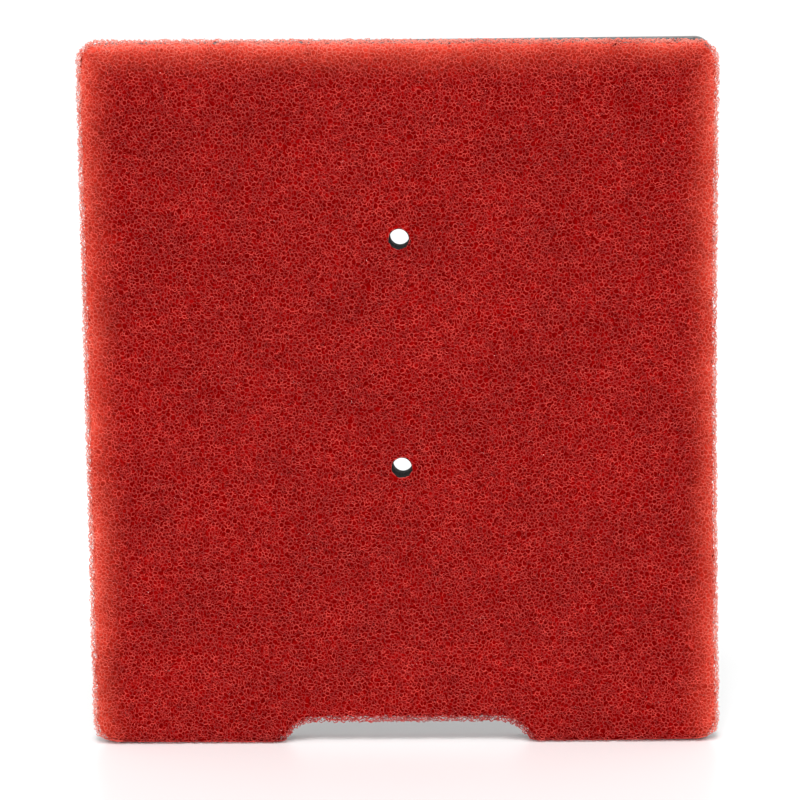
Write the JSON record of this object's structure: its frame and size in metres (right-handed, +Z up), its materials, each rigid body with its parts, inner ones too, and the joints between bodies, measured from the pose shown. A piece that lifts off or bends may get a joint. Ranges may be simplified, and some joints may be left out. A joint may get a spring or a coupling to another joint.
{
  "type": "foam air filter element",
  "caption": "Flat rectangular foam air filter element with a coarse foam face, a fine foam layer, a screened support frame, a rim seal, sleeved screw holes and a notch between two feet.",
  "frame": {"origin": "under the middle of the element, at the level of its two feet", "axes": "+Z up along the height, X across the width, the coarse foam faces -Y and the rim seal faces +Y"},
  "size_m": [0.178, 0.0118, 0.2],
  "materials": {
    "coarse_foam": "matte open-cell polyurethane foam, 20 pores per inch",
    "fine_foam": "matte open-cell polyurethane foam, fine pores",
    "screen": "woven wire, satin",
    "frame": "moulded polypropylene, fine texture",
    "seal": "closed-cell sponge rubber, matte",
    "sleeve": "moulded nylon, satin"
  },
  "bodies": {
    "root": {"coarse_foam": "coarse_foam", "fine_foam": "fine_foam", "support_screen": "screen", "support_frame": "frame", "rim_seal": "seal", "upper_sleeve": "sleeve", "lower_sleeve": "sleeve"}
  },
  "joints": []
}
